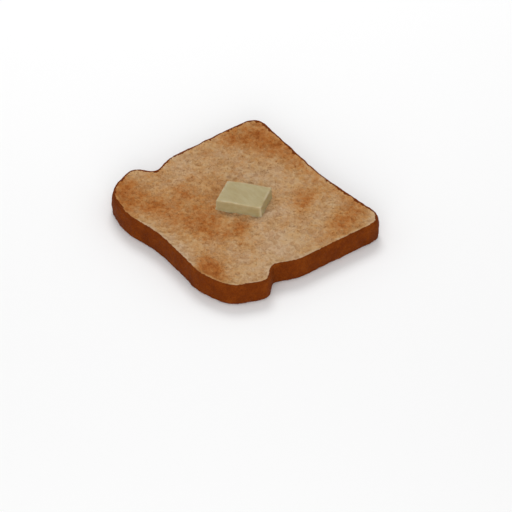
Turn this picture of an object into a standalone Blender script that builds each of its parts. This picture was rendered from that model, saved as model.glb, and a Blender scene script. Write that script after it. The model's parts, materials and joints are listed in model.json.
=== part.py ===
"""A slice of toasted sandwich bread with a pat of butter on it.

The slice lies flat. +Z is up, the domed end of the loaf faces -Y and the flat base of the loaf
faces +Y. The origin is on the surface that it lies on, under the middle of its box.
"""

import math

import bmesh
import bpy
from mathutils import Matrix, Vector

MM = 0.001

# The slice's outline: corner points in millimetres, each with the radius that rounds it. They run
# down one side, from the base of the loaf to its domed end, and the other side mirrors them.
SIDE_CORNERS = (
    (57.7, 51.0, 8.5),
    (58.1, 16.0, 300.0),
    (57.7, -10.0, 12.0),
    (52.3, -24.2, 3.6),
    (62.4, -32.4, 7.5),
    (54.5, -55.0, 17.0),
    (34.0, -61.4, 30.0),
)
BASE_DIP = (5.0, 46.7, 150.0)
DOME_DIP = (-6.0, -57.2, 60.0)
ARC_STEP = math.radians(11.0)
FEWEST_ARC_STEPS = 3
LONGEST_RUN = 7.5

# Heights in millimetres.
SLICE_THICKNESS = 13.0
CRUMB_DISH = 0.6
CRUMB_WAVE = 0.2
# The gentle waves of the crumb's face: wavelength in millimetres, heading in degrees, phase, share.
CRUMB_WAVES = (
    (71.0, 25.0, 0.9, 0.45),
    (54.0, 110.0, 2.6, 0.3),
    (31.0, 147.0, 4.1, 0.25),
)

# The crust, from the flat underside out round the side and in to the crumb.
BOTTOM_EDGE_RADIUS = 1.6
TOP_EDGE_RADIUS = 1.3
EDGE_STEPS = 4
SIDE_BULGE = 0.5
SIDE_STEPS = 3
RIM_WIDTH = 1.2
DISH_WIDTH = 4.5
DISH_STEPS = 3
CRUMB_RINGS = 7

# The butter pat, in millimetres and degrees.
BUTTER_LENGTH = 25.4
BUTTER_WIDTH = 19.0
BUTTER_HEIGHT = 5.9
BUTTER_TAPER = 0.98
BUTTER_SKEW = 5.5
BUTTER_EDGE_RADIUS = 0.9
BUTTER_EDGE_SEGMENTS = 4
BUTTER_PLACE = (-0.9, -2.5)
BUTTER_TURN = 38.0
REST_GAP = 0.3

# The crust's material stops where the side turns under, and shading breaks at sharper edges.
UNDERSIDE_NORMAL = -0.9
SHARP_ANGLE = 50.0

TOAST_COLOUR = (0.42, 0.22, 0.09)
CRUST_COLOUR = (0.155, 0.045, 0.012)
BUTTER_COLOUR = (0.60, 0.50, 0.24)
TOAST_ROUGHNESS = 0.85
CRUST_ROUGHNESS = 0.7
BUTTER_ROUGHNESS = 0.35


def clear_scene():
    for obj in list(bpy.data.objects):
        bpy.data.objects.remove(obj, do_unlink=True)


def make_material(name, colour, roughness):
    material = bpy.data.materials.new(name)
    material.use_nodes = True
    shader = material.node_tree.nodes["Principled BSDF"]
    shader.inputs["Base Color"].default_value = (*colour, 1.0)
    shader.inputs["Roughness"].default_value = roughness
    shader.inputs["Metallic"].default_value = 0.0
    material.diffuse_color = (*colour, 1.0)
    return material


def corner_arc(before, corner, after, radius):
    """The points of the arc that rounds a corner, touching both of its straight runs."""
    to_before = (before - corner).normalized()
    to_after = (after - corner).normalized()
    half_opening = to_before.angle(to_after) / 2
    turn = math.pi - 2 * half_opening
    bisector = (to_before + to_after).normalized()
    centre = corner + bisector * (radius / math.sin(half_opening))
    start = corner + to_before * (radius / math.tan(half_opening)) - centre
    bends_left = to_before.cross(to_after) < 0
    steps = max(FEWEST_ARC_STEPS, math.ceil(turn / ARC_STEP))
    sweep = turn if bends_left else -turn
    return [
        centre + Matrix.Rotation(sweep * step / steps, 2) @ start
        for step in range(steps + 1)
    ]


def slice_outline():
    """The outline as points in millimetres, anticlockwise from above."""
    down_right = list(SIDE_CORNERS)
    up_left = [(-x, y, radius) for x, y, radius in reversed(SIDE_CORNERS)]
    corners = list(reversed([BASE_DIP, *down_right, DOME_DIP, *up_left]))
    points = []
    for index, (x, y, radius) in enumerate(corners):
        before = Vector(corners[index - 1][:2])
        after = Vector(corners[(index + 1) % len(corners)][:2])
        points += corner_arc(before, Vector((x, y)), after, radius)
    return split_long_runs(points)


def split_long_runs(points):
    result = []
    for index, start in enumerate(points):
        end = points[(index + 1) % len(points)]
        pieces = math.ceil((end - start).length / LONGEST_RUN)
        result += [start.lerp(end, piece / pieces) for piece in range(pieces)]
    return result


def inward_normals(points):
    normals = []
    for index in range(len(points)):
        along = points[(index + 1) % len(points)] - points[index - 1]
        normals.append(Vector((-along.y, along.x)).normalized())
    return normals


def crumb_wave(x, y):
    """The gentle unevenness of the crumb's face, in millimetres: never more than CRUMB_WAVE."""
    height = 0.0
    for length, heading, phase, share in CRUMB_WAVES:
        along = x * math.cos(math.radians(heading)) + y * math.sin(math.radians(heading))
        height += share * math.sin(math.tau * along / length + phase)
    return CRUMB_WAVE * height


def crust_profile():
    """(inset, height) pairs in millimetres, from the flat underside to the top of the rim."""
    profile = []
    for step in range(EDGE_STEPS + 1):
        angle = math.radians(90) * step / EDGE_STEPS
        inset = BOTTOM_EDGE_RADIUS * (1 - math.sin(angle))
        height = BOTTOM_EDGE_RADIUS * (1 - math.cos(angle))
        profile.append((SIDE_BULGE + inset, height))
    low = BOTTOM_EDGE_RADIUS
    high = SLICE_THICKNESS - TOP_EDGE_RADIUS
    for step in range(1, SIDE_STEPS):
        share = step / SIDE_STEPS
        bulge = SIDE_BULGE * math.sin(math.pi * share)
        profile.append((SIDE_BULGE - bulge, low + (high - low) * share))
    for step in range(EDGE_STEPS + 1):
        angle = math.radians(90) * step / EDGE_STEPS
        inset = TOP_EDGE_RADIUS * (1 - math.cos(angle))
        profile.append((SIDE_BULGE + inset, high + TOP_EDGE_RADIUS * math.sin(angle)))
    profile.append((SIDE_BULGE + TOP_EDGE_RADIUS + RIM_WIDTH, SLICE_THICKNESS))
    return profile


def add_ring(mesh, places):
    return [mesh.verts.new(Vector(place) * MM) for place in places]


def bridge(mesh, lower, upper):
    for index, corner in enumerate(lower):
        following = (index + 1) % len(lower)
        mesh.faces.new((corner, lower[following], upper[following], upper[index]))


def inset_ring(outline, normals, inset, height):
    moved = [point + normal * inset for point, normal in zip(outline, normals)]
    return [(point.x, point.y, height) for point in moved]


def crumb_rings(rim):
    """Rings that dish down from the rim and run in over the uneven crumb, to its middle."""
    face = SLICE_THICKNESS - CRUMB_DISH
    middle_y = (max(y for _, y, _ in rim) + min(y for _, y, _ in rim)) / 2
    reach = max(abs(x) for x, _, _ in rim)
    dish_shares = [DISH_WIDTH / reach * step / DISH_STEPS for step in range(1, DISH_STEPS + 1)]
    dish_end = dish_shares[-1]
    crumb_shares = [
        dish_end + (1 - dish_end) * step / CRUMB_RINGS for step in range(1, CRUMB_RINGS)
    ]
    for share in dish_shares + crumb_shares:
        fade = min(1.0, share / dish_end)
        drop = (1 - math.cos(math.pi * fade)) / 2
        ring = []
        for x, y, _ in rim:
            inner_x = x * (1 - share)
            inner_y = middle_y + (y - middle_y) * (1 - share)
            wave = crumb_wave(inner_x, inner_y)
            height = SLICE_THICKNESS + drop * (face - SLICE_THICKNESS + wave)
            ring.append((inner_x, inner_y, height))
        yield ring


def make_toast_slice():
    outline = slice_outline()
    normals = inward_normals(outline)
    mesh = bmesh.new()
    rings = [
        add_ring(mesh, inset_ring(outline, normals, inset, height))
        for inset, height in crust_profile()
    ]
    rim_inset, rim_height = crust_profile()[-1]
    rim = inset_ring(outline, normals, rim_inset, rim_height)
    rings += [add_ring(mesh, ring) for ring in crumb_rings(rim)]
    for lower, upper in zip(rings, rings[1:]):
        bridge(mesh, lower, upper)
    mesh.faces.new(list(reversed(rings[0])))
    mesh.faces.new(rings[-1])
    bmesh.ops.triangulate(mesh, faces=[face for face in mesh.faces if len(face.verts) > 4])
    crumb_material = make_material("toast", TOAST_COLOUR, TOAST_ROUGHNESS)
    toast = finish_object(mesh, "toast_slice", crumb_material)
    toast.data.materials.append(make_material("crust", CRUST_COLOUR, CRUST_ROUGHNESS))
    top_of_side = (SLICE_THICKNESS - TOP_EDGE_RADIUS / 2) * MM
    for face in toast.data.polygons:
        is_crust = face.center.z < top_of_side and face.normal.z > UNDERSIDE_NORMAL
        face.material_index = 1 if is_crust else 0
    return toast


def make_butter_pat():
    mesh = bmesh.new()
    bmesh.ops.create_cube(mesh, size=1.0)
    bmesh.ops.scale(mesh, vec=(BUTTER_LENGTH, BUTTER_WIDTH, BUTTER_HEIGHT), verts=mesh.verts)
    for vert in mesh.verts:
        if vert.co.z > 0:
            vert.co.x *= BUTTER_TAPER
            vert.co.y *= BUTTER_TAPER
        vert.co.x += vert.co.y * math.tan(math.radians(BUTTER_SKEW))
    softened = [edge for edge in mesh.edges if max(vert.co.z for vert in edge.verts) > 0]
    bmesh.ops.bevel(
        mesh,
        geom=softened,
        offset=BUTTER_EDGE_RADIUS,
        segments=BUTTER_EDGE_SEGMENTS,
        profile=0.5,
        affect="EDGES",
    )
    bmesh.ops.scale(mesh, vec=(MM, MM, MM), verts=mesh.verts)
    butter_material = make_material("butter", BUTTER_COLOUR, BUTTER_ROUGHNESS)
    butter = finish_object(mesh, "butter_pat", butter_material)
    underside = SLICE_THICKNESS - CRUMB_DISH + CRUMB_WAVE + REST_GAP
    butter.location = Vector((*BUTTER_PLACE, underside + BUTTER_HEIGHT / 2)) * MM
    butter.rotation_euler.z = math.radians(BUTTER_TURN)
    return butter


def finish_object(mesh, name, material):
    data = bpy.data.meshes.new(name)
    mesh.to_mesh(data)
    mesh.free()
    data.materials.append(material)
    data.shade_smooth()
    data.set_sharp_from_angle(angle=math.radians(SHARP_ANGLE))
    obj = bpy.data.objects.new(name, data)
    bpy.context.scene.collection.objects.link(obj)
    return obj


def centre_on_origin(objects, base):
    """Shifts everything sideways so that the origin is under the middle of the base object's box."""
    shift = Vector((0, 0, 0))
    for axis in (0, 1):
        values = [vert.co[axis] for vert in base.data.vertices]
        shift[axis] = -(min(values) + max(values)) / 2
    for obj in objects:
        obj.location += shift


def main():
    clear_scene()
    toast = make_toast_slice()
    butter = make_butter_pat()
    centre_on_origin((toast, butter), toast)


main()
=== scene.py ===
"""A slice of toasted sandwich bread with a pat of butter on it: the finished look of both pieces.

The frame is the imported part's: +Z up, -Y towards the domed end of the loaf, metres. The fields and
profiles below are in millimetres, and MM turns them into metres where a mesh is made.
"""

import json
import math

import bmesh
import bpy
import numpy as np
from mathutils import Matrix, Vector, geometry
from mathutils.bvhtree import BVHTree
from mathutils.kdtree import KDTree

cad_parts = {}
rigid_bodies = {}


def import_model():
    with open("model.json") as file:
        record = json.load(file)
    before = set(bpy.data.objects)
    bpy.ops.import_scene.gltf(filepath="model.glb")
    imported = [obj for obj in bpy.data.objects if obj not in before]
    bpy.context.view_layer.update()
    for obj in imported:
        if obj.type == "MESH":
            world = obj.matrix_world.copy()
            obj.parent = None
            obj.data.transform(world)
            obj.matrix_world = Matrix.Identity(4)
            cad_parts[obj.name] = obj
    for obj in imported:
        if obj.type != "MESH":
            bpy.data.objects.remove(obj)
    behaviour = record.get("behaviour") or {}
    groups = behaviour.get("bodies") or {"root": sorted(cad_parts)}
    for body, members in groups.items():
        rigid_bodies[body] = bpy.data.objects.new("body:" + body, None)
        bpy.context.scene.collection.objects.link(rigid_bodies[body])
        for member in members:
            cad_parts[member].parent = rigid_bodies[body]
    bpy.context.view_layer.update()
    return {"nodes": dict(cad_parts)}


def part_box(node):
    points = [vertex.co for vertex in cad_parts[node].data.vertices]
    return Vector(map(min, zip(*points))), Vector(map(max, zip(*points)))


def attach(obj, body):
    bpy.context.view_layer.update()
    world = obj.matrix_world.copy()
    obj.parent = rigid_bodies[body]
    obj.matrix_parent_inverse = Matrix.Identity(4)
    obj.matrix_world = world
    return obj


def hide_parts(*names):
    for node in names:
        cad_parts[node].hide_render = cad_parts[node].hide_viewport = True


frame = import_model()

MM = 0.001
SEED = 20
QUARTER_TURN = math.pi / 2
SQUARE_CENTIMETRE = 100.0

# ---------------------------------------------------------------- sizes, in millimetres
SLICE_LOW, SLICE_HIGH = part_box("toast_slice")
BUTTER_LOW, BUTTER_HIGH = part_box("butter_pat")
THICKNESS = SLICE_HIGH.z / MM

OUTLINE_STEP = 0.7
OUTLINE_RAYS = 1440
OUTLINE_SMOOTHING = 1.6
# Bands of bumps are given as (wavelength, deviation), here and below.
OUTLINE_BUMPS = ((38.0, 0.15), (15.0, 0.08), (5.5, 0.05))
BLUR_OF_WAVELENGTH = 0.2

TOP_SPACING = 0.475
BOTTOM_SPACING = 0.95
# Shares of the spacing: how far a point is shaken, and the least gap between it and the ring.
POINT_SHAKE = 0.12
RING_GAP = 0.6

TOP_EDGE_RADIUS = 0.9
BOTTOM_EDGE_RADIUS = 1.4
SIDE_BULGE = 0.5
WALL_ROWS = 15
ARC_ROWS = 5
WALL_BUMPS = ((11.0, 0.08), (5.0, 0.07), (2.3, 0.045))
WALL_NOISE_ROWS = 64
CRUMB_DISH = 0.6
DISH_WIDTH = 4.0
UNDERSIDE_LIFT = 0.1

# The fields' grid. Distances to the outline are found at every second point of it.
FIELD_PITCH = 0.2
FIELD_MARGIN = 2.0
COARSE = 2
DISTANCE_STEP = 0.15
# A place read from a grid stays this many steps short of the grid's count of points.
GRID_END = 1.001

# The filling's triangles: those inside the ring, with points closer than this taken as one.
INSIDE_ONLY = 1
SAME_POINT = 1e-7

# Browned areas of the toast's face: centre x, y, radius along and across, heading in degrees,
# and how much browner (or paler, below zero) the middle is. Positions are in the frame.
BROWN_AREAS = (
    (-45.0, 43.0, 17.0, 13.0, 60.0, 0.62),
    (-18.0, 49.0, 22.0, 8.0, 0.0, 0.50),
    (-40.0, 53.0, 8.0, 5.0, 0.0, -0.18),
    (22.0, 50.0, 20.0, 7.0, 0.0, 0.32),
    (45.0, 38.0, 16.0, 10.0, 115.0, 0.58),
    (54.0, 51.0, 6.0, 5.0, 0.0, -0.30),
    (15.0, 32.0, 10.0, 7.0, 120.0, 0.58),
    (25.0, 22.0, 10.0, 6.0, 150.0, 0.14),
    (52.0, 14.0, 9.0, 5.0, 90.0, 0.20),
    (-50.0, 20.0, 10.0, 7.0, 90.0, 0.12),
    (-27.0, 38.0, 8.0, 7.0, 40.0, 0.25),
    (-26.0, -9.0, 6.0, 6.0, 0.0, -0.16),
    (-52.0, 31.0, 6.0, 8.0, 90.0, 0.16),
    (-38.0, 12.0, 6.0, 3.5, 150.0, 0.18),
    (-26.0, -6.0, 17.0, 11.0, 60.0, 0.30),
    (-16.0, -20.0, 17.0, 12.0, 20.0, 0.42),
    (3.0, -27.0, 16.0, 11.0, 20.0, 0.56),
    (15.0, -20.0, 7.0, 6.0, 90.0, 0.20),
    (14.0, -11.0, 8.0, 6.0, 140.0, 0.45),
    (-50.0, -19.0, 8.0, 6.0, 60.0, 0.20),
    (-52.0, -40.0, 9.0, 12.0, 60.0, 0.50),
    (-35.0, -37.0, 14.0, 10.0, 140.0, 0.36),
    (-22.0, -38.0, 16.0, 9.0, 0.0, 0.32),
    (-37.0, -51.0, 14.0, 6.0, 160.0, 0.48),
    (33.0, -47.5, 14.0, 7.5, 170.0, 0.74),
    (28.0, -36.0, 12.0, 7.0, 160.0, 0.20),
    (8.0, -51.0, 16.0, 6.0, 0.0, -0.25),
    (1.0, -44.0, 12.0, 5.0, 0.0, 0.14),
    (26.0, -17.0, 7.0, 5.0, 130.0, 0.16),
    (-14.0, 24.0, 14.0, 10.0, 30.0, -0.12),
    (14.0, 8.0, 8.0, 6.0, 90.0, -0.16),
    (42.0, -4.0, 15.0, 10.0, 120.0, -0.28),
    (52.0, -28.0, 8.0, 5.0, 60.0, -0.12),
    (27.0, 42.0, 7.0, 5.0, 90.0, -0.16),
)
BROWN_BASE = 0.27
UNDERSIDE_BROWN = 0.40
BROWN_BUMPS = ((20.0, 0.04), (8.0, 0.055), (3.5, 0.05))
AREA_FALLOFF = 1.3

# Where the face stays pale just inside its crust, given in the same way, and the distances from
# the outline between which that band comes in and goes.
PALE_RIM_AREAS = (
    (8.0, -56.0, 34.0, 12.0, 0.0, 1.0),
    (57.0, 4.0, 46.0, 12.0, 90.0, 1.0),
    (2.0, 52.0, 13.0, 8.0, 0.0, 0.7),
)
PALE_RIM = 0.6
PALE_RIM_START = (0.5, 1.3)
PALE_RIM_END = (1.6, 4.4)
PALE_PATCH_SIZE = 12.0
PALE_PATCHES = (-1.2, 0.6)

# The crust's width on the cut face, and the shares of that width between which it fades.
CRUST_WIDTH = 1.35
CRUST_WIDTH_BUMPS = ((9.0, 0.22), (3.0, 0.16))
CRUST_WIDTH_LIMITS = (0.8, 2.2)
CRUST_FADE = (0.65, 1.45)
THIN_CRUST = 0.35

# Open cells of the crumb: how many in each square centimetre, and their radii.
CELL_SIZES = (
    (34.0, 0.50, 0.75),
    (16.0, 0.75, 1.10),
    (4.5, 1.10, 1.60),
    (0.6, 1.60, 2.30),
)
CELL_DEPTH = 0.55
CELL_STRETCH = 1.8
CELL_CHANCE = 0.62
CROWDING = 0.22
CROWDING_SIZE = 22.0
SMALL_CELL_BIAS = 1.5
BOWL_STEEPNESS = 2.2
# Distances from the outline between which the cells come in, and how ragged that line is.
CELLS_START = (1.8, 3.4)
CELLS_START_BUMPS = ((4.0, 0.5),)

# Relief too fine for single cells.
FINE_CELL_SIZE = 1.5
FINE_CELL_SPREAD = 0.4
FINE_CELL_DEPTH = 0.16
FINE_CELLS = (0.2, 1.8)
ROUGH_BUMPS = ((1.3, 0.03), (3.2, 0.05))
ROUGH_START = (0.8, 2.5)


# ---------------------------------------------------------------- random fields
def smoothstep(low, high, value):
    share = np.clip((value - low) / (high - low), 0.0, 1.0)
    return share * share * (3.0 - 2.0 * share)


def band_noise(rng, shape, pitch, wavelength, spread=0.5):
    """Random bumps of about one wavelength, mean 0 and deviation 1, on a grid that wraps round."""
    spectrum = np.fft.rfft2(rng.standard_normal(shape))
    rows = np.fft.fftfreq(shape[0], pitch)[:, None]
    columns = np.fft.rfftfreq(shape[1], pitch)[None, :]
    frequency = np.hypot(rows, columns)
    frequency[0, 0] = 1e-9
    octaves = np.log2(frequency * wavelength)
    band = np.exp(-0.5 * (octaves / spread) ** 2) / frequency
    field = np.fft.irfft2(spectrum * band, s=shape)
    return (field - field.mean()) / field.std()


class Field:
    """A grid of values over the slice's face, read between its points."""

    def __init__(self):
        self.low = np.array([SLICE_LOW.x, SLICE_LOW.y]) / MM - FIELD_MARGIN
        high = np.array([SLICE_HIGH.x, SLICE_HIGH.y]) / MM + FIELD_MARGIN
        columns, rows = np.ceil((high - self.low) / FIELD_PITCH).astype(int)
        self.shape = (int(rows), int(columns))
        self.x = self.low[0] + FIELD_PITCH * np.arange(columns)[None, :]
        self.y = self.low[1] + FIELD_PITCH * np.arange(rows)[:, None]

    def noise(self, rng, wavelength, spread=0.5):
        return band_noise(rng, self.shape, FIELD_PITCH, wavelength, spread)

    def bumps(self, rng, bands):
        return sum(size * self.noise(rng, wavelength) for wavelength, size in bands)

    def square_at(self, x, y):
        """Column and row of the grid's square that holds a place."""
        column = int((x - self.low[0]) / FIELD_PITCH)
        row = int((y - self.low[1]) / FIELD_PITCH)
        return min(column, self.shape[1] - 1), min(row, self.shape[0] - 1)

    def read(self, values, points):
        place = (points[:, :2] - self.low) / FIELD_PITCH
        place[:, 0] = np.clip(place[:, 0], 0, self.shape[1] - GRID_END)
        place[:, 1] = np.clip(place[:, 1], 0, self.shape[0] - GRID_END)
        corner = place.astype(int)
        right, up = (place - corner).T
        column, row = corner.T
        lower = values[row, column] * (1 - right) + values[row, column + 1] * right
        upper = values[row + 1, column] * (1 - right) + values[row + 1, column + 1] * right
        return lower * (1 - up) + upper * up


# ---------------------------------------------------------------- the slice's outline
def resample_closed(points, step):
    """Evenly spaced points round a closed line."""
    closed = np.vstack([points, points[:1]])
    lengths = np.hypot(*np.diff(closed, axis=0).T)
    along = np.concatenate([[0.0], np.cumsum(lengths)])
    count = int(round(along[-1] / step))
    places = np.linspace(0.0, along[-1], count, endpoint=False)
    return np.stack([np.interp(places, along, closed[:, axis]) for axis in (0, 1)], axis=1)


def smooth_closed(values, width):
    """Blurs values round a closed line. width is in steps."""
    spectrum = np.fft.rfft(values, axis=0)
    frequency = np.fft.rfftfreq(len(values))
    keep = np.exp(-2 * (math.pi * frequency * width) ** 2)
    return np.fft.irfft(spectrum * keep.reshape(-1, *[1] * (values.ndim - 1)), len(values), axis=0)


def outward_normals(points):
    along = np.roll(points, -1, axis=0) - np.roll(points, 1, axis=0)
    normals = np.stack([along[:, 1], -along[:, 0]], axis=1)
    return normals / np.linalg.norm(normals, axis=1)[:, None]


def packed_outline():
    """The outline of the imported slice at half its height."""
    node = frame["nodes"]["toast_slice"].data
    tree = BVHTree.FromPolygons(
        [vert.co for vert in node.vertices], [tuple(face.vertices) for face in node.polygons]
    )
    start = Vector((0.0, 0.0, THICKNESS * MM / 2))
    hits = []
    for ray in range(OUTLINE_RAYS):
        angle = math.tau * ray / OUTLINE_RAYS
        hit = tree.ray_cast(start, Vector((math.cos(angle), math.sin(angle), 0.0)))[0]
        hits.append((hit.x / MM, hit.y / MM))
    return np.array(hits)


def slice_outline():
    """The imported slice's outline, smoothed and then made slightly uneven."""
    points = resample_closed(packed_outline(), OUTLINE_STEP)
    points = smooth_closed(points, OUTLINE_SMOOTHING / OUTLINE_STEP)
    rng = np.random.default_rng(SEED)
    uneven = np.zeros(len(points))
    for wavelength, size in OUTLINE_BUMPS:
        blur = BLUR_OF_WAVELENGTH * wavelength / OUTLINE_STEP
        bumps = smooth_closed(rng.standard_normal(len(points)), blur)
        uneven += size * bumps / bumps.std()
    return points + outward_normals(points) * uneven[:, None]


def signed_distance(field, line):
    """Distance to a closed line as a field, above 0 inside the line and below 0 outside."""
    dense = resample_closed(line, DISTANCE_STEP)
    tree = KDTree(len(dense))
    for index, (x, y) in enumerate(dense):
        tree.insert((x, y, 0.0), index)
    tree.balance()
    rows, columns = (math.ceil(count / COARSE) for count in field.shape)
    distance = np.empty((rows, columns))
    across = field.low[0] + np.arange(columns) * COARSE * FIELD_PITCH
    for row in range(rows):
        y = field.low[1] + row * COARSE * FIELD_PITCH
        distance[row] = [tree.find((x, y, 0.0))[2] for x in across]
        outside = np.searchsorted(line_crossings(line, y), across) % 2 == 0
        distance[row, outside] *= -1
    return stretch_grid(distance, field.shape)


def line_crossings(line, y):
    """Where a closed line crosses a height, from low x to high."""
    start, end = line, np.roll(line, -1, axis=0)
    spans = (start[:, 1] > y) != (end[:, 1] > y)
    share = (y - start[spans, 1]) / (end[spans, 1] - start[spans, 1])
    return np.sort(start[spans, 0] + share * (end[spans, 0] - start[spans, 0]))


def stretch_grid(coarse, shape):
    """A coarse grid read at every point of the field's grid."""
    rows = np.clip(np.arange(shape[0]) / COARSE, 0, coarse.shape[0] - GRID_END)
    columns = np.clip(np.arange(shape[1]) / COARSE, 0, coarse.shape[1] - GRID_END)
    row, column = rows.astype(int), columns.astype(int)
    down, right = (rows - row)[:, None], (columns - column)[None, :]
    upper = coarse[row][:, column] * (1 - right) + coarse[row][:, column + 1] * right
    lower = coarse[row + 1][:, column] * (1 - right) + coarse[row + 1][:, column + 1] * right
    return upper * (1 - down) + lower * down


# ---------------------------------------------------------------- the slice's cut faces
def open_cells(field, rng):
    """Relief of the crumb's open cells: 0 on the surface, below 0 in a cell, in millimetres."""
    relief = np.zeros(field.shape)
    width = field.shape[1] * FIELD_PITCH
    depth = field.shape[0] * FIELD_PITCH
    crowding = field.noise(rng, CROWDING_SIZE)
    for density, smallest, largest in CELL_SIZES:
        for _ in range(int(density * width * depth / SQUARE_CENTIMETRE)):
            x = field.low[0] + width * rng.random()
            y = field.low[1] + depth * rng.random()
            radius = smallest + (largest - smallest) * rng.random() ** SMALL_CELL_BIAS
            stretch = 1 + (CELL_STRETCH - 1) * rng.random()
            turn = math.pi * rng.random()
            chance = rng.random()
            column, row = field.square_at(x, y)
            if chance <= CELL_CHANCE + CROWDING * crowding[row, column]:
                stamp_cell(field, relief, (x, y), radius, stretch, turn)
    return relief


def stamp_cell(field, relief, centre, radius, stretch, turn):
    """Presses one bowl into the relief."""
    column, row = field.square_at(*centre)
    reach = math.ceil(radius * stretch / FIELD_PITCH) + 1
    columns = slice(max(column - reach, 0), column + reach + 1)
    rows = slice(max(row - reach, 0), row + reach + 1)
    along, across = turned_offsets(field.x[:, columns], field.y[rows, :], centre, turn)
    along = along / (radius * stretch)
    across = across / radius
    inside = np.clip(1 - along**2 - across**2, 0.0, None)
    bowl = -CELL_DEPTH * radius * (1 - (1 - inside) ** BOWL_STEEPNESS)
    relief[rows, columns] = np.minimum(relief[rows, columns], bowl)


def turned_offsets(x, y, centre, turn):
    """How far places are from a centre, along a heading and across it."""
    dx, dy = x - centre[0], y - centre[1]
    along = dx * math.cos(turn) + dy * math.sin(turn)
    across = dy * math.cos(turn) - dx * math.sin(turn)
    return along, across


def soft_areas(field, areas):
    total = np.zeros(field.shape)
    for x, y, length, width, heading, strength in areas:
        along, across = turned_offsets(field.x, field.y, (x, y), math.radians(heading))
        reach = (along / length) ** 2 + (across / width) ** 2
        total += strength * np.exp(-(reach**AREA_FALLOFF))
    return total


class Face:
    """One cut face of the slice: its relief, browning and crust, as fields."""

    def __init__(self, field, edge_distance, seed, base, areas):
        rng = np.random.default_rng(seed)
        self.field = field
        self.edge_distance = edge_distance
        self.cut_crumb(rng)
        self.brown = base + soft_areas(field, areas) + field.bumps(rng, BROWN_BUMPS)
        self.form_rim(rng)

    def cut_crumb(self, rng):
        """Open cells and finer relief, both fading out towards the crust."""
        cells = open_cells(self.field, rng)
        ragged_distance = self.edge_distance + self.field.bumps(rng, CELLS_START_BUMPS)
        self.cells = cells * smoothstep(*CELLS_START, ragged_distance)
        fine_noise = self.field.noise(rng, FINE_CELL_SIZE, FINE_CELL_SPREAD)
        rough = self.field.bumps(rng, ROUGH_BUMPS)
        rough -= FINE_CELL_DEPTH * smoothstep(*FINE_CELLS, fine_noise)
        self.relief = self.cells + rough * smoothstep(*ROUGH_START, self.edge_distance)

    def form_rim(self, rng):
        """The paler band just inside the crust, and how much of each place is crust."""
        distance = self.edge_distance
        patches = smoothstep(*PALE_PATCHES, self.field.noise(rng, PALE_PATCH_SIZE))
        band = smoothstep(*PALE_RIM_START, distance) * (1 - smoothstep(*PALE_RIM_END, distance))
        pale = np.clip(soft_areas(self.field, PALE_RIM_AREAS), 0.0, 1.0)
        self.brown -= PALE_RIM * pale * band * patches
        width = CRUST_WIDTH + self.field.bumps(rng, CRUST_WIDTH_BUMPS)
        width = np.clip(width, *CRUST_WIDTH_LIMITS) * (1 - THIN_CRUST * pale)
        self.crust = 1 - smoothstep(*CRUST_FADE, distance / width)

    def read(self, values, places):
        return self.field.read(values, places)


def top_height(face, places):
    """Height of the upper face, which dishes down from the rim, with its cells cut."""
    distance = face.read(face.edge_distance, places)
    dish = smoothstep(TOP_EDGE_RADIUS, TOP_EDGE_RADIUS + DISH_WIDTH, distance)
    return THICKNESS - CRUMB_DISH * dish + face.read(face.relief, places)


def underside_height(face, places):
    """Height of the underside: its cells go up into the slice, and nothing goes below the floor."""
    return np.maximum(UNDERSIDE_LIFT - face.read(face.relief, places), 0.0)


# ---------------------------------------------------------------- the slice's mesh
def hex_points(face, inset, spacing, rng):
    """Points further in than inset from the outline, on a slightly shaken triangular grid."""
    field = face.field
    rows = np.arange(field.y[0, 0], field.y[-1, 0], spacing * math.sqrt(0.75))
    columns = np.arange(field.x[0, 0], field.x[0, -1], spacing)
    x, y = np.meshgrid(columns, rows)
    x = x + np.where(np.arange(len(rows)) % 2, spacing / 2, 0.0)[:, None]
    points = np.stack([x.ravel(), y.ravel()], axis=1)
    points += rng.uniform(-POINT_SHAKE, POINT_SHAKE, points.shape) * spacing
    return points[face.read(face.edge_distance, points) > inset + RING_GAP * spacing]


def fill_ring(ring, inner):
    """Triangles that fill a ring round inner points. The ring's points come first."""
    points = np.vstack([ring, inner])
    loop = list(range(len(ring)))
    filled = geometry.delaunay_2d_cdt(
        [Vector(point) for point in points], [], [loop], INSIDE_ONLY, SAME_POINT, False
    )
    places, triangles = filled[0], filled[2]
    if len(places) != len(points):
        raise ValueError("the filling added points to the ring")
    triangles = np.sort(np.array(triangles, int), axis=1)
    first, second, third = (points[triangles[:, corner]] for corner in range(3))
    area = np.cross(second - first, third - first)
    in_pocket = (triangles[:, 2] < len(ring)) & (area < 0)
    triangles[area < 0] = triangles[area < 0][:, ::-1]
    return triangles[~in_pocket]


def wall_profile():
    """(inset, height, tilt) down the slice's side: tilt is the normal's angle above the horizon."""
    rows = []
    high, low = THICKNESS - TOP_EDGE_RADIUS, BOTTOM_EDGE_RADIUS
    for step in range(ARC_ROWS + 1):
        tilt = QUARTER_TURN * (1 - step / ARC_ROWS)
        inset = TOP_EDGE_RADIUS * (1 - math.cos(tilt))
        rows.append((inset, high + TOP_EDGE_RADIUS * math.sin(tilt), tilt))
    for step in range(1, WALL_ROWS):
        share = step / WALL_ROWS
        bulge = SIDE_BULGE * math.sin(math.pi * share)
        rows.append((-bulge, high + (low - high) * share, 0.0))
    for step in range(ARC_ROWS + 1):
        tilt = -QUARTER_TURN * step / ARC_ROWS
        inset = BOTTOM_EDGE_RADIUS * (1 - math.cos(tilt))
        rows.append((inset, BOTTOM_EDGE_RADIUS * (1 + math.sin(tilt)), tilt))
    return rows


def wall_relief(rng, around, rows):
    """Bumps and wrinkles of the side crust, in millimetres, one row for each row of the wall."""
    shape = (WALL_NOISE_ROWS, around)
    relief = sum(
        size * band_noise(rng, shape, OUTLINE_STEP, wavelength) for wavelength, size in WALL_BUMPS
    )
    return relief[:rows]


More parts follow.
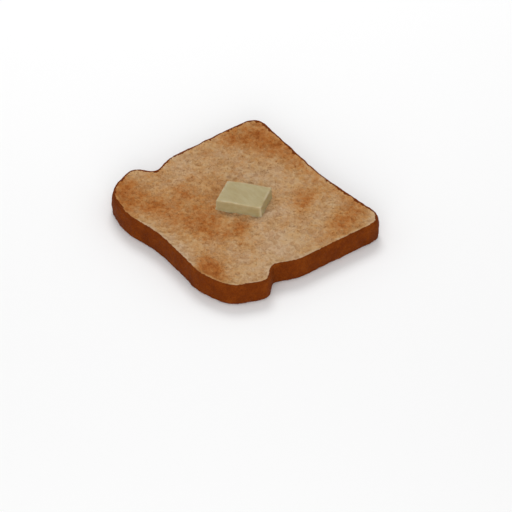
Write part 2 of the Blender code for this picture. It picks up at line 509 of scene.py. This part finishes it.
def wall_rings(outline, top, bottom, rng):
    """Rings of points down the side crust, what each point is like, and the faces between."""
    normals = outward_normals(outline)
    profile = wall_profile()
    around = len(outline)
    wall_noise = wall_relief(rng, around, len(profile))
    points, facts, faces = [], [], []
    for row, (inset, height, tilt) in enumerate(profile):
        place = outline - normals * inset
        cap = top if tilt > 0 else bottom
        lift = 0.0 if tilt > 0 else UNDERSIDE_LIFT
        cap_relief = (cap.read(cap.relief, place) - lift) * math.sin(tilt)
        push = wall_noise[row] * math.cos(tilt)
        out = place + normals * (push * math.cos(tilt))[:, None]
        z = np.maximum(height + push * math.sin(tilt) + cap_relief, 0.0)
        points.append(np.column_stack([out, z]))
        brown = cap.read(cap.brown, place)
        facts.append(np.column_stack([brown, np.ones(around), np.zeros(around)]))
    for row in range(len(profile) - 1):
        here = np.arange(around) + row * around
        following = np.roll(np.arange(around), -1) + row * around
        faces.append(np.column_stack([here, here + around, following + around, following]))
    return points, facts, faces


def make_toast():
    outline = slice_outline()
    outline -= outward_normals(outline) * SIDE_BULGE
    field = Field()
    edge_distance = signed_distance(field, outline)
    top = Face(field, edge_distance, SEED + 1, BROWN_BASE, BROWN_AREAS)
    mirrored = [(-x, y, *rest) for x, y, *rest in BROWN_AREAS]
    bottom = Face(field, edge_distance, SEED + 2, UNDERSIDE_BROWN, mirrored)

    rng = np.random.default_rng(SEED + 3)
    points, facts, faces = wall_rings(outline, top, bottom, rng)
    around = len(outline)
    caps = (
        (top, 0, TOP_EDGE_RADIUS, TOP_SPACING, top_height),
        (bottom, len(points) - 1, BOTTOM_EDGE_RADIUS, BOTTOM_SPACING, underside_height),
    )
    for cap, row, inset, spacing, height_at in caps:
        inner = hex_points(cap, inset, spacing, rng)
        first = sum(len(block) for block in points)
        index = np.concatenate([np.arange(around) + row * around, np.arange(len(inner)) + first])
        triangles = index[fill_ring(points[row][:, :2], inner)]
        faces.append(triangles if cap is top else triangles[:, ::-1])
        points.append(np.column_stack([inner, height_at(cap, inner)]))
        cap_facts = (cap.brown, cap.crust, -cap.cells)
        facts.append(np.column_stack([cap.read(values, inner) for values in cap_facts]))
    return build_toast(np.vstack(points), faces, np.vstack(facts))


def build_toast(points, faces, facts):
    data = bpy.data.meshes.new("toast")
    polygons = [tuple(face) for block in faces for face in block.tolist()]
    data.from_pydata((points * MM).tolist(), [], polygons)
    for column, name in enumerate(("browning", "crust", "cell")):
        add_values(data, name, facts[:, column])
    data.update()
    return add_piece("toasted_bread", data)


def add_values(data, name, values):
    """One number for each point of a mesh, for its material to read."""
    attribute = data.attributes.new(name, "FLOAT", "POINT")
    attribute.data.foreach_set("value", values.astype(np.float32))


def add_piece(name, data):
    data.shade_smooth()
    piece = bpy.data.objects.new(name, data)
    bpy.context.scene.collection.objects.link(piece)
    return piece


# ---------------------------------------------------------------- the butter
BUTTER_LENGTH = 25.4
BUTTER_WIDTH = 19.0
BUTTER_TURN = math.radians(38.0)
BUTTER_SKEW = math.radians(5.5)
BUTTER_CUTS = 34
BUTTER_EDGE = 0.65
BUTTER_SINK = 1.0
# How far in from the slab's edges the painted highlight reaches.
EDGE_HIGHLIGHT_WIDTH = 0.8
# Shares of the size: how much narrower the top is, and how much wider the foot.
TOP_NARROWING = 0.02
FOOT_WIDENING = 0.02
# The softest corner: how far round it the butter gives, how far it drops and how far it spreads.
SLUMP_REACH = (5.5, 5.0)
SLUMP_DROP = 0.5
SLUMP_SPREAD = 0.4
# Ripples of the knife-cut sides, as (wavelength, size), and the shares that go up and sideways.
RIPPLES = ((16.0, 0.14), (6.5, 0.05))
RIPPLES_PER_BAND = 6
RIPPLE_UP = 0.5
RIPPLE_SIDEWAYS = 0.35
NO_LENGTH = 1e-6


def make_butter():
    """A slab with softened edges, its foot spread a little and one top corner slumped."""
    low = SLICE_HIGH.z / MM - CRUMB_DISH - BUTTER_SINK
    high = BUTTER_HIGH.z / MM
    half = np.array([BUTTER_LENGTH / 2, BUTTER_WIDTH / 2, (high - low) / 2])
    mesh = bmesh.new()
    bmesh.ops.create_cube(mesh, size=2.0)
    bmesh.ops.subdivide_edges(mesh, edges=mesh.edges[:], cuts=BUTTER_CUTS, use_grid_fill=True)
    slab = np.array([vert.co for vert in mesh.verts]) * half
    points = round_edges(slab, half)
    share = (points[:, 2] / half[2] + 1) / 2
    slump(points, share, half)
    ripple(points, share)
    points[:, :2] = turn_flat(points[:, :2], BUTTER_TURN)
    centre = (BUTTER_LOW + BUTTER_HIGH) / 2 / MM
    points += (centre.x, centre.y, (low + high) / 2)
    for vert, place in zip(mesh.verts, points * MM):
        vert.co = Vector(place)
    data = bpy.data.meshes.new("butter")
    mesh.to_mesh(data)
    mesh.free()
    # The edges' painted highlight, for the material to read.
    add_values(data, "edge_highlight", painted_edge_highlight(slab, half))
    return add_piece("butter_slab", data)


def painted_edge_highlight(slab, half):
    """Painted highlight: 1 along the slab's edges, falling to 0 away from them."""
    inset = np.sort(half - np.abs(slab), axis=1)
    return np.exp(-((inset[:, 1] / EDGE_HIGHLIGHT_WIDTH) ** 2))


def round_edges(slab, half):
    core = np.clip(slab, -(half - BUTTER_EDGE), half - BUTTER_EDGE)
    away = slab - core
    length = np.linalg.norm(away, axis=1)[:, None]
    rounded = core + away / np.maximum(length, NO_LENGTH) * BUTTER_EDGE
    return np.where(length > NO_LENGTH, rounded, slab)


def slump(points, share, half):
    """Widens the foot, lowers one corner and leans the slab. share runs from 0 below to 1 on top."""
    spread = 1.0 - TOP_NARROWING * share + FOOT_WIDENING * (1 - share) ** 3
    points[:, :2] *= spread[:, None]
    from_corner = (points[:, :2] - np.array([half[0], -half[1]])) / np.array(SLUMP_REACH)
    near = np.exp(-(from_corner**2).sum(axis=1))
    points[:, 2] -= SLUMP_DROP * near * share
    points[:, 0] += SLUMP_SPREAD * near * (1 - share)
    points[:, 0] += points[:, 1] * math.tan(BUTTER_SKEW)


def ripple(points, share):
    rng = np.random.default_rng(SEED + 5)
    for wavelength, size in RIPPLES:
        for _ in range(RIPPLES_PER_BAND):
            direction = rng.standard_normal(3)
            direction /= np.linalg.norm(direction)
            phase = rng.random() * math.tau
            wave = size * np.sin(points @ direction * math.tau / wavelength + phase)
            points[:, 2] += RIPPLE_UP * wave * share
            points[:, :2] += RIPPLE_SIDEWAYS * wave[:, None] * direction[:2]


def turn_flat(places, angle):
    turn = np.array([[math.cos(angle), -math.sin(angle)], [math.sin(angle), math.cos(angle)]])
    return places @ turn.T


# ---------------------------------------------------------------- materials
class Nodes:
    """Short calls for building a material's node tree."""

    def __init__(self, name):
        self.material = bpy.data.materials.new(name)
        self.material.use_nodes = True
        self.tree = self.material.node_tree
        self.shader = self.tree.nodes["Principled BSDF"]

    def new(self, kind, **settings):
        node = self.tree.nodes.new(kind)
        for key, value in settings.items():
            setattr(node, key, value)
        return node

    def put(self, socket, value):
        if isinstance(value, bpy.types.NodeSocket):
            self.tree.links.new(value, socket)
        else:
            socket.default_value = value

    def set_shader(self, name, value):
        self.put(self.shader.inputs[name], value)

    def attribute(self, name):
        return self.new("ShaderNodeAttribute", attribute_name=name).outputs["Fac"]

    def coordinates(self, stretch=(1.0, 1.0, 1.0)):
        mapping = self.new("ShaderNodeMapping")
        self.put(mapping.inputs["Vector"], self.new("ShaderNodeTexCoord").outputs["Object"])
        mapping.inputs["Scale"].default_value = stretch
        return mapping.outputs["Vector"]

    def noise(self, vector, size_mm, detail=3.0, roughness=0.5):
        node = self.new("ShaderNodeTexNoise")
        self.put(node.inputs["Vector"], vector)
        node.inputs["Scale"].default_value = 1 / (size_mm * MM)
        node.inputs["Detail"].default_value = detail
        node.inputs["Roughness"].default_value = roughness
        return node.outputs["Fac"]

    def pits(self, vector, size_mm, radii):
        """1 in the middle of each of many scattered pits, falling to 0 between two radii."""
        node = self.new("ShaderNodeTexVoronoi")
        self.put(node.inputs["Vector"], vector)
        node.inputs["Scale"].default_value = 1 / (size_mm * MM)
        return self.remap(node.outputs["Distance"], radii, (1.0, 0.0))

    def math(self, operation, first, second, clamp=False):
        node = self.new("ShaderNodeMath", operation=operation, use_clamp=clamp)
        self.put(node.inputs[0], first)
        self.put(node.inputs[1], second)
        return node.outputs[0]

    def add(self, first, second, clamp=False):
        return self.math("ADD", first, second, clamp)

    def subtract(self, first, second):
        return self.math("SUBTRACT", first, second)

    def multiply(self, first, second, clamp=False):
        return self.math("MULTIPLY", first, second, clamp)

    def remap(self, value, before, after=(0.0, 1.0)):
        node = self.new("ShaderNodeMapRange", interpolation_type="SMOOTHSTEP")
        self.put(node.inputs["Value"], value)
        node.inputs["From Min"].default_value, node.inputs["From Max"].default_value = before
        node.inputs["To Min"].default_value, node.inputs["To Max"].default_value = after
        return node.outputs["Result"]

    def swing(self, value, before, size):
        """Turns a pattern into a change of up to size either way."""
        return self.remap(value, before, (-size, size))

    def ramp(self, value, stops):
        node = self.new("ShaderNodeValToRGB")
        elements = node.color_ramp.elements
        while len(elements) < len(stops):
            elements.new(0.5)
        for element, (place, colour) in zip(elements, stops):
            element.position = place
            element.color = colour
        self.put(node.inputs["Fac"], value)
        return node.outputs["Color"]

    def mix(self, factor, first, second, blend="MIX"):
        node = self.new("ShaderNodeMix", data_type="RGBA", blend_type=blend)
        self.put(node.inputs["Factor"], factor)
        self.put(node.inputs["A"], first)
        self.put(node.inputs["B"], second)
        return node.outputs["Result"]

    def bump(self, height, distance_mm, strength):
        node = self.new("ShaderNodeBump")
        node.inputs["Strength"].default_value = strength
        node.inputs["Distance"].default_value = distance_mm * MM
        self.put(node.inputs["Height"], height)
        return node.outputs["Normal"]


def srgb(red, green, blue):
    """A colour given as 0 to 255 screen values, as the linear values that shaders take."""
    values = []
    for value in (red, green, blue):
        share = value / 255
        values.append(share / 12.92 if share <= 0.04045 else ((share + 0.055) / 1.055) ** 2.4)
    return (*values, 1.0)


# The parts of a noise's range that are used: most of it, and its middle.
WIDE = (0.25, 0.75)
MIDDLE = (0.3, 0.7)

# The crumb, from untoasted to well browned.
CRUMB_STOPS = (
    (0.00, srgb(193, 162, 129)),
    (0.25, srgb(189, 151, 110)),
    (0.50, srgb(182, 134, 86)),
    (0.75, srgb(170, 109, 57)),
    (1.00, srgb(149, 83, 36)),
)
CRUST_STOPS = (
    (0.25, srgb(90, 36, 3)),
    (0.50, srgb(107, 46, 5)),
    (0.75, srgb(126, 61, 12)),
)
WARM_TINT = (1.0, 0.985, 0.90, 1.0)
# A darker tint painted into the crumb's open cells and pits as their shade.
HOLLOW_SHADE_TINT = (0.80, 0.66, 0.52, 1.0)

# Sizes of the toast's patterns, in millimetres.
GRAIN_SIZE = 0.9
SOFT_SIZE = 3.0
OPEN_PATCH_SIZE = 2.6
PIT_SIZE = 1.25
FINE_PIT_SIZE = 0.62
WARM_PATCH_SIZE = 11.0
FIBRE_SIZE = 0.3
MOTTLE_SIZE = 7.0
SPECKLE_SIZE = 0.55
WRINKLE_SIZE = 2.4
WRINKLE_STRETCH = (1.0, 1.0, 1.7)
DIMPLE_SIZE = 1.0

# Ranges of a pattern over which something comes in.
CRUST_START = (0.25, 0.54)
OPEN_PATCHES = (0.36, 0.62)
WARM_PATCHES = (0.35, 0.65)
DIMPLED_PATCHES = (0.4, 0.65)
HOLLOW_DEPTHS = (0.06, 0.55)
PIT_RADII = (0.10, 0.42)
FINE_PIT_RADII = (0.08, 0.5)
DIMPLE_RADII = (0.1, 0.5)

TOAST_BUMP = 0.45
TOAST_BUMP_STRENGTH = 0.95
TOAST_SPECULAR = 0.04
CRUMB_ROUGHNESS = 0.92
CRUST_SHEEN = 0.26


class ToastPatterns:
    """The patterns that the toast's colour, relief and roughness share."""

    def __init__(self, nodes):
        self.place = nodes.coordinates()
        self.grain = nodes.noise(self.place, GRAIN_SIZE, detail=4.0, roughness=0.6)
        self.soft = nodes.noise(self.place, SOFT_SIZE)
        self.mottle = nodes.noise(self.place, MOTTLE_SIZE, detail=8.0, roughness=0.72)
        ragged = nodes.add(nodes.attribute("crust"), nodes.swing(self.soft, MIDDLE, 0.15))
        ragged = nodes.add(ragged, nodes.swing(self.grain, WIDE, 0.3))
        self.crust = nodes.remap(ragged, CRUST_START)
        patches = nodes.remap(nodes.noise(self.place, OPEN_PATCH_SIZE, detail=2.0), OPEN_PATCHES)
        self.pits = nodes.multiply(nodes.pits(self.place, PIT_SIZE, PIT_RADII), patches)
        self.fine_pits = nodes.pits(self.place, FINE_PIT_SIZE, FINE_PIT_RADII)


def crumb_colour(nodes, patterns):
    hollow = nodes.remap(nodes.attribute("cell"), HOLLOW_DEPTHS)
    shade = nodes.add(nodes.attribute("browning"), nodes.swing(patterns.grain, WIDE, 0.12))
    shade = nodes.add(shade, nodes.swing(patterns.soft, MIDDLE, 0.07))
    shade = nodes.subtract(shade, nodes.multiply(hollow, 0.14))
    colour = nodes.ramp(nodes.multiply(shade, 0.86, clamp=True), CRUMB_STOPS)
    warmth = nodes.remap(nodes.noise(patterns.place, WARM_PATCH_SIZE), WARM_PATCHES)
    colour = nodes.mix(warmth, colour, WARM_TINT, "MULTIPLY")
    # Painted shade: the open cells and the pits are darkened, as if shadowed inside them.
    shadow = nodes.add(nodes.multiply(hollow, 0.55), nodes.multiply(patterns.pits, 0.45))
    shadow = nodes.add(shadow, nodes.multiply(patterns.fine_pits, 0.2), clamp=True)
    return nodes.mix(shadow, colour, HOLLOW_SHADE_TINT, "MULTIPLY")


def crust_colour(nodes, patterns):
    speckle = nodes.noise(patterns.place, SPECKLE_SIZE, roughness=0.6)
    return nodes.ramp(nodes.add(patterns.mottle, nodes.swing(speckle, MIDDLE, 0.14)), CRUST_STOPS)


def crumb_height(nodes, patterns):
    fibre = nodes.noise(patterns.place, FIBRE_SIZE, roughness=0.6)
    height = nodes.subtract(nodes.multiply(fibre, 0.3), nodes.multiply(patterns.pits, 0.8))
    return nodes.subtract(height, nodes.multiply(patterns.fine_pits, 0.45))


def crust_height(nodes, patterns):
    along = nodes.coordinates(WRINKLE_STRETCH)
    wrinkles = nodes.noise(along, WRINKLE_SIZE, detail=9.0, roughness=0.74)
    dimpled = nodes.remap(patterns.soft, DIMPLED_PATCHES, (0.0, 0.5))
    dimples = nodes.multiply(nodes.pits(patterns.place, DIMPLE_SIZE, DIMPLE_RADII), dimpled)
    return nodes.subtract(nodes.multiply(wrinkles, 1.5), dimples)


def toast_material():
    nodes = Nodes("toasted_bread")
    patterns = ToastPatterns(nodes)
    crust = patterns.crust
    colour = nodes.mix(crust, crumb_colour(nodes, patterns), crust_colour(nodes, patterns))
    nodes.set_shader("Base Color", colour)
    on_crumb = nodes.multiply(crumb_height(nodes, patterns), nodes.subtract(1.0, crust))
    on_crust = nodes.multiply(crust_height(nodes, patterns), crust)
    height = nodes.add(on_crumb, on_crust)
    nodes.set_shader("Normal", nodes.bump(height, TOAST_BUMP, TOAST_BUMP_STRENGTH))
    rough = nodes.subtract(CRUMB_ROUGHNESS, nodes.multiply(crust, CRUST_SHEEN))
    rough = nodes.add(rough, nodes.swing(patterns.mottle, MIDDLE, 0.06), clamp=True)
    nodes.set_shader("Roughness", rough)
    nodes.set_shader("Specular IOR Level", TOAST_SPECULAR)
    return nodes.material


BUTTER_STOPS = (
    (0.25, srgb(158, 141, 96)),
    (0.75, srgb(166, 151, 110)),
)
STREAK_COLOUR = srgb(174, 161, 124)
# A lighter colour painted along the slab's edges as a highlight.
EDGE_HIGHLIGHT_COLOUR = srgb(188, 176, 149)

# Sizes of the butter's patterns, in millimetres. Streaks and smears run along the knife's cut.
CLOUD_SIZE = 7.0
STREAK_SIZE = 2.2
EDGE_HIGHLIGHT_PATCH_SIZE = 4.0
SMEAR_SIZE = 1.4
KNIFE_STRETCH = (0.3, 1.0, 1.0)

STREAKS = (0.35, 0.68)
STREAK_SHARE = (0.0, 0.5)
EDGE_HIGHLIGHT_PATCHES = (0.35, 0.62)
EDGE_HIGHLIGHT_SHARE = (0.12, 0.7)
BUTTER_ROUGHNESS = (0.48, 0.62)
BUTTER_BUMP = 0.22
BUTTER_BUMP_STRENGTH = 0.7
BUTTER_SPECULAR = 0.24
BUTTER_TRANSLUCENCY = 0.7
BUTTER_SCATTER = (1.0, 0.85, 0.6)
BUTTER_SCATTER_DEPTH = 2.5


def butter_colour(nodes, place, knife):
    colour = nodes.ramp(nodes.noise(place, CLOUD_SIZE, detail=4.0), BUTTER_STOPS)
    streaks = nodes.noise(knife, STREAK_SIZE, detail=5.0, roughness=0.6)
    colour = nodes.mix(nodes.remap(streaks, STREAKS, STREAK_SHARE), colour, STREAK_COLOUR)
    patches = nodes.remap(nodes.noise(place, EDGE_HIGHLIGHT_PATCH_SIZE), EDGE_HIGHLIGHT_PATCHES, EDGE_HIGHLIGHT_SHARE)
    # Painted highlight: the slab's edges are lightened in patches.
    return nodes.mix(nodes.multiply(nodes.attribute("edge_highlight"), patches), colour, EDGE_HIGHLIGHT_COLOUR)


def butter_material():
    nodes = Nodes("soft_butter")
    knife = nodes.coordinates(KNIFE_STRETCH)
    nodes.set_shader("Base Color", butter_colour(nodes, nodes.coordinates(), knife))
    nodes.set_shader("Subsurface Weight", BUTTER_TRANSLUCENCY)
    nodes.set_shader("Subsurface Radius", BUTTER_SCATTER)
    nodes.set_shader("Subsurface Scale", BUTTER_SCATTER_DEPTH * MM)
    smear = nodes.noise(knife, SMEAR_SIZE, detail=5.0, roughness=0.62)
    nodes.set_shader("Roughness", nodes.remap(smear, MIDDLE, BUTTER_ROUGHNESS))
    nodes.set_shader("Normal", nodes.bump(smear, BUTTER_BUMP, BUTTER_BUMP_STRENGTH))
    nodes.set_shader("Specular IOR Level", BUTTER_SPECULAR)
    return nodes.material


# ---------------------------------------------------------------- floor, light and camera
# Angles in degrees, distances in metres, and lengths in the picture's plane in millimetres.
CAMERA_AZIMUTH = 51.6
CAMERA_ELEVATION = 38.8
CAMERA_ROLL = 0.7
CAMERA_DISTANCE = 6.0
CAMERA_SENSOR = 36.0
VIEW_WIDTH = 279.476
ORIGIN_RIGHT_OF_MIDDLE = -8.3515
ORIGIN_ABOVE_MIDDLE = 17.7402

FLOOR_RADIUS = 9.0
FLOOR_CORNERS = 96
FLOOR_COLOUR = (0.92, 0.92, 0.92, 1.0)
FLOOR_ROUGHNESS = 0.9
FLOOR_SPECULAR = 0.1

# Round lamps: name, place and diameter in metres, and power.
LAMPS = (
    ("key", (-0.55, 0.35, 0.85), 0.5, 3.8),
    ("fill", (0.92, -0.8, 0.38), 0.9, 7.5),
)
SKY_COLOUR = (1.0, 1.0, 1.0, 1.0)
SKY_STRENGTH = 0.68


def make_floor():
    mesh = bmesh.new()
    bmesh.ops.create_circle(mesh, cap_ends=True, segments=FLOOR_CORNERS, radius=FLOOR_RADIUS)
    data = bpy.data.meshes.new("floor")
    mesh.to_mesh(data)
    mesh.free()
    floor = bpy.data.objects.new("floor", data)
    bpy.context.scene.collection.objects.link(floor)
    nodes = Nodes("floor")
    nodes.set_shader("Base Color", FLOOR_COLOUR)
    nodes.set_shader("Roughness", FLOOR_ROUGHNESS)
    nodes.set_shader("Specular IOR Level", FLOOR_SPECULAR)
    data.materials.append(nodes.material)


def make_lamp(name, place, diameter, power):
    """A round lamp that points at the origin."""
    data = bpy.data.lights.new(name, "AREA")
    data.shape = "DISK"
    data.size = diameter
    data.energy = power
    lamp = bpy.data.objects.new(name, data)
    lamp.location = place
    lamp.rotation_mode = "QUATERNION"
    lamp.rotation_quaternion = Vector(place).to_track_quat("Z", "Y")
    bpy.context.scene.collection.objects.link(lamp)


def make_light():
    world = bpy.data.worlds.new("studio")
    world.use_nodes = True
    background = world.node_tree.nodes["Background"]
    background.inputs["Color"].default_value = SKY_COLOUR
    background.inputs["Strength"].default_value = SKY_STRENGTH
    bpy.context.scene.world = world
    for name, place, diameter, power in LAMPS:
        make_lamp(name, place, diameter, power)
    bpy.context.scene.view_settings.view_transform = "Standard"


def make_camera():
    """A long lens, so far off that the view is nearly flat."""
    azimuth, elevation = math.radians(CAMERA_AZIMUTH), math.radians(CAMERA_ELEVATION)
    level = math.cos(elevation)
    back = Vector((math.sin(azimuth) * level, -math.cos(azimuth) * level, math.sin(elevation)))
    upright = back.to_track_quat("Z", "Y").to_matrix()
    turn = upright @ Matrix.Rotation(math.radians(CAMERA_ROLL), 3, "Z")
    right, up = turn.col[0], turn.col[1]
    aim = (-right * ORIGIN_RIGHT_OF_MIDDLE - up * ORIGIN_ABOVE_MIDDLE) * MM
    data = bpy.data.cameras.new("camera")
    data.sensor_width = CAMERA_SENSOR
    data.lens = CAMERA_SENSOR * CAMERA_DISTANCE / (VIEW_WIDTH * MM)
    data.clip_end = 4 * CAMERA_DISTANCE
    camera = bpy.data.objects.new("camera", data)
    camera.rotation_mode = "QUATERNION"
    camera.rotation_quaternion = turn.to_quaternion()
    camera.location = aim + back * CAMERA_DISTANCE
    bpy.context.scene.collection.objects.link(camera)
    bpy.context.scene.camera = camera


# ---------------------------------------------------------------- the scene
for start_object in list(bpy.data.objects):
    if start_object.type in ("CAMERA", "LIGHT") or start_object.name == "Cube":
        bpy.data.objects.remove(start_object)

toast = make_toast()
toast.data.materials.append(toast_material())
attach(toast, "root")
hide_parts("toast_slice")

butter = make_butter()
butter.data.materials.append(butter_material())
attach(butter, "root")
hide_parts("butter_pat")

make_floor()
make_light()
make_camera()
